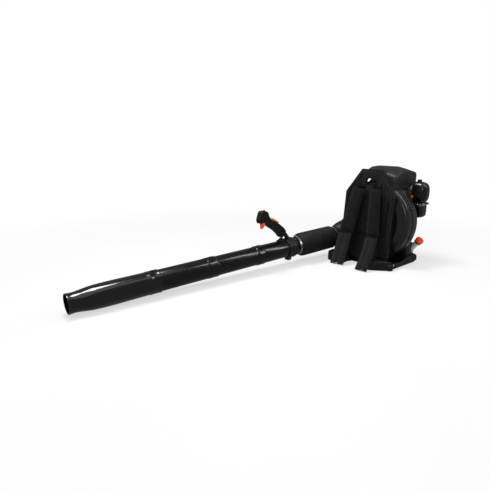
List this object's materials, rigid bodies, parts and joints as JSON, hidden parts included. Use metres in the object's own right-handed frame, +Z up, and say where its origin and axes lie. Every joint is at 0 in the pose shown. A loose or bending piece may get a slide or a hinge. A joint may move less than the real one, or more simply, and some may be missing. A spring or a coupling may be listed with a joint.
{
  "type": "backpack leaf blower",
  "caption": "Petrol backpack leaf blower: fan housing and two-stroke engine on a frame with shoulder straps, a rubber bellows and a long twist-locked blow tube with a control handle.",
  "frame": {"origin": "On the floor, on the flat underside of the base tray, straight under the fan axis and the middle of the fan housing's depth.", "axes": "+Z is up, -Y is the side with the shoulder straps, which the blow tube points to, +X is the wearer's left with the fuel filler and the air cleaner; the fan and crank axis is along +Y."},
  "size_m": [0.5522, 1.6154, 0.47],
  "materials": {
    "base_tray": "satin moulded black plastic",
    "back_plate": "satin moulded black plastic",
    "back_pad": "black woven cover over thin foam",
    "rubber_mounts": "black rubber",
    "shoulder_pad_right": "charcoal woven fabric over foam",
    "shoulder_pad_left": "charcoal woven fabric over foam",
    "lower_strap_right": "charcoal ribbed fabric over foam",
    "lower_strap_left": "charcoal ribbed fabric over foam",
    "strap_hardware": "bent steel wire and plate",
    "volute_front": "satin black plastic",
    "volute_rear": "satin black plastic",
    "intake_grille": "black plastic",
    "impeller": "glass-filled plastic",
    "housing_screws": "zinc-plated steel",
    "outlet_elbow": "satin black plastic",
    "crankcase_front": "die-cast aluminium",
    "crankcase_rear": "die-cast aluminium",
    "crankshaft": "ground steel",
    "main_bearings": "polished bearing steel",
    "flywheel": "cast aluminium",
    "engine_cylinder": "cast aluminium fins",
    "piston": "machined aluminium",
    "connecting_rod": "forged steel",
    "spark_plug": "plated shell and white insulator",
    "plug_boot": "black rubber",
    "ignition_coil": "black potted plastic",
    "muffler": "heat-dulled pressed steel",
    "carb_insulator": "black phenolic plastic",
    "carburettor": "die-cast zinc-aluminium",
    "throttle_lever": "yellow-passivated steel",
    "choke_lever": "orange plastic",
    "primer_bulb": "clear silicone rubber",
    "air_cleaner_base": "black plastic",
    "air_filter": "open foam",
    "air_cleaner_cover": "glossy black plastic",
    "air_cleaner_knob": "black plastic",
    "engine_cover": "satin dark grey plastic",
    "starter_housing": "satin black plastic",
    "starter_pulley": "nylon",
    "starter_rope": "braided cord",
    "starter_grip": "black plastic",
    "fuel_tank": "translucent white plastic",
    "fuel_cap": "orange plastic",
    "fuel_line": "amber rubber hose",
    "elbow_clamp": "steel band",
    "bellows_rear": "matte black rubber",
    "bellows_front": "matte black rubber",
    "bellows_clamp": "steel band",
    "swivel_tube": "glossy black plastic",
    "middle_tube": "glossy black plastic",
    "front_tube": "glossy black plastic",
    "nozzle": "very glossy black plastic",
    "handle_clamp": "black plastic with a steel bolt",
    "handle_shell_right": "fine-grained black plastic",
    "handle_shell_left": "fine-grained black plastic",
    "throttle_trigger": "orange plastic",
    "lockout_lever": "amber plastic",
    "cruise_button": "amber plastic",
    "stop_switch": "orange plastic"
  },
  "bodies": {
    "frame": {"base_tray": "base_tray", "back_plate": "back_plate", "back_pad": "back_pad", "rubber_mounts": "rubber_mounts", "shoulder_pad_right": "shoulder_pad_right", "shoulder_pad_left": "shoulder_pad_left", "lower_strap_right": "lower_strap_right", "lower_strap_left": "lower_strap_left", "strap_hardware": "strap_hardware", "volute_front": "volute_front", "volute_rear": "volute_rear", "intake_grille": "intake_grille", "housing_screws": "housing_screws", "outlet_elbow": "outlet_elbow", "crankcase_front": "crankcase_front", "crankcase_rear": "crankcase_rear", "main_bearings": "main_bearings", "engine_cylinder": "engine_cylinder", "piston": "piston", "connecting_rod": "connecting_rod", "spark_plug": "spark_plug", "plug_boot": "plug_boot", "ignition_coil": "ignition_coil", "muffler": "muffler", "carb_insulator": "carb_insulator", "carburettor": "carburettor", "air_cleaner_base": "air_cleaner_base", "air_filter": "air_filter", "air_cleaner_cover": "air_cleaner_cover", "engine_cover": "engine_cover", "starter_housing": "starter_housing", "fuel_tank": "fuel_tank", "fuel_line": "fuel_line", "elbow_clamp": "elbow_clamp"},
    "fan_rotor": {"impeller": "impeller", "crankshaft": "crankshaft", "flywheel": "flywheel"},
    "pulley": {"starter_pulley": "starter_pulley"},
    "pull_grip": {"starter_grip": "starter_grip", "starter_rope": "starter_rope"},
    "butterfly": {"throttle_lever": "throttle_lever"},
    "choke": {"choke_lever": "choke_lever"},
    "primer": {"primer_bulb": "primer_bulb"},
    "cap": {"fuel_cap": "fuel_cap"},
    "cleaner_knob": {"air_cleaner_knob": "air_cleaner_knob"},
    "bellows_link": {"bellows_rear": "bellows_rear"},
    "tube_root": {"bellows_front": "bellows_front", "bellows_clamp": "bellows_clamp"},
    "swivel": {"swivel_tube": "swivel_tube"},
    "middle_section": {"middle_tube": "middle_tube"},
    "front_section": {"front_tube": "front_tube"},
    "nozzle_section": {"nozzle": "nozzle"},
    "handle": {"handle_clamp": "handle_clamp", "handle_shell_right": "handle_shell_right", "handle_shell_left": "handle_shell_left"},
    "trigger": {"throttle_trigger": "throttle_trigger"},
    "lockout": {"lockout_lever": "lockout_lever"},
    "cruise": {"cruise_button": "cruise_button"},
    "stop": {"stop_switch": "stop_switch"}
  },
  "joints": [
    {"name": "fan_spin", "type": "hinge", "parent": "frame", "child": "fan_rotor", "pos_m": [0, 0.1, 0.221], "axis": [0, 1, 0], "continuous": true},
    {"name": "starter_pull", "type": "slide", "parent": "frame", "child": "pull_grip", "axis": [-1, 0, 0], "range_m": [0, 0.5], "deforming": ["starter_rope"]},
    {"name": "starter_spin", "type": "hinge", "parent": "frame", "child": "pulley", "pos_m": [0, 0.176, 0.221], "axis": [0, -1, 0], "range_deg": [0, 900]},
    {"name": "throttle_shaft", "type": "hinge", "parent": "frame", "child": "butterfly", "pos_m": [0.118, 0.118, 0.348], "axis": [0, -1, 0], "range_deg": [0, 70]},
    {"name": "choke_turn", "type": "hinge", "parent": "frame", "child": "choke", "pos_m": [0.1412, 0.0775, 0.322], "axis": [0, 1, 0], "range_deg": [0, 50]},
    {"name": "primer_press", "type": "slide", "parent": "frame", "child": "primer", "axis": [0, 0, 1], "range_m": [0, 0.004], "stiffness_N_per_m": 800, "springref_m": -0.001},
    {"name": "cap_turn", "type": "hinge", "parent": "frame", "child": "cap", "pos_m": [0.18857, 0.112, 0.11996], "axis": [0.6428, 0, 0.766], "range_deg": [0, 300]},
    {"name": "cleaner_knob_turn", "type": "hinge", "parent": "frame", "child": "cleaner_knob", "pos_m": [0.158, 0.118, 0.4045], "axis": [0, 0, 1], "range_deg": [0, 360]},
    {"name": "tube_yaw", "type": "hinge", "parent": "frame", "child": "bellows_link", "pos_m": [-0.20725, -0.17754, 0.09722], "axis": [0, 0, 1], "range_deg": [-20, 20], "deforming": ["bellows_rear"]},
    {"name": "tube_pitch", "type": "hinge", "parent": "bellows_link", "child": "tube_root", "pos_m": [-0.20725, -0.17754, 0.09722], "axis": [-1, 0, 0], "range_deg": [-15, 25], "deforming": ["bellows_front", "bellows_rear"]},
    {"name": "tube_swivel", "type": "hinge", "parent": "tube_root", "child": "swivel", "pos_m": [-0.21979, -0.33692, 0.09075], "axis": [-0.0784, -0.9961, -0.0405], "range_deg": [-60, 60]},
    {"name": "handle_slide", "type": "slide", "parent": "swivel", "child": "handle", "axis": [-0.0784, -0.9961, -0.0405], "range_m": [-0.015, 0.09]},
    {"name": "middle_twist", "type": "hinge", "parent": "swivel", "child": "middle_section", "pos_m": [-0.23798, -0.56801, 0.08135], "axis": [-0.0784, -0.9961, -0.0405], "range_deg": [0, 20]},
    {"name": "front_twist", "type": "hinge", "parent": "middle_section", "child": "front_section", "pos_m": [-0.25852, -0.82899, 0.07075], "axis": [-0.0784, -0.9961, -0.0405], "range_deg": [0, 20]},
    {"name": "nozzle_twist", "type": "hinge", "parent": "front_section", "child": "nozzle_section", "pos_m": [-0.27937, -1.09395, 0.05998], "axis": [-0.0784, -0.9961, -0.0405], "range_deg": [0, 20]},
    {"name": "trigger_pull", "type": "hinge", "parent": "handle", "child": "trigger", "pos_m": [-0.224, -0.556, 0.244], "axis": [1, 0, 0], "range_deg": [0, 18], "stiffness_Nm_per_rad": 0.6, "springref_deg": -22.92},
    {"name": "lockout_press", "type": "hinge", "parent": "handle", "child": "lockout", "pos_m": [-0.224, -0.506, 0.246], "axis": [-1, 0, 0], "range_deg": [0, 5], "stiffness_Nm_per_rad": 1.5, "springref_deg": -5.73},
    {"name": "cruise_press", "type": "slide", "parent": "handle", "child": "cruise", "axis": [0, -0.9063, -0.4226], "range_m": [0, 0.003], "stiffness_N_per_m": 900, "springref_m": -0.001},
    {"name": "stop_slide", "type": "slide", "parent": "handle", "child": "stop", "axis": [0, -1, 0], "range_m": [0, 0.006]}
  ],
  "couplings": [
    {"joint": "starter_spin", "follows": "starter_pull", "rad_per_m": 31.25},
    {"joint": "throttle_shaft", "follows": "trigger_pull", "ratio": 3.6}
  ]
}
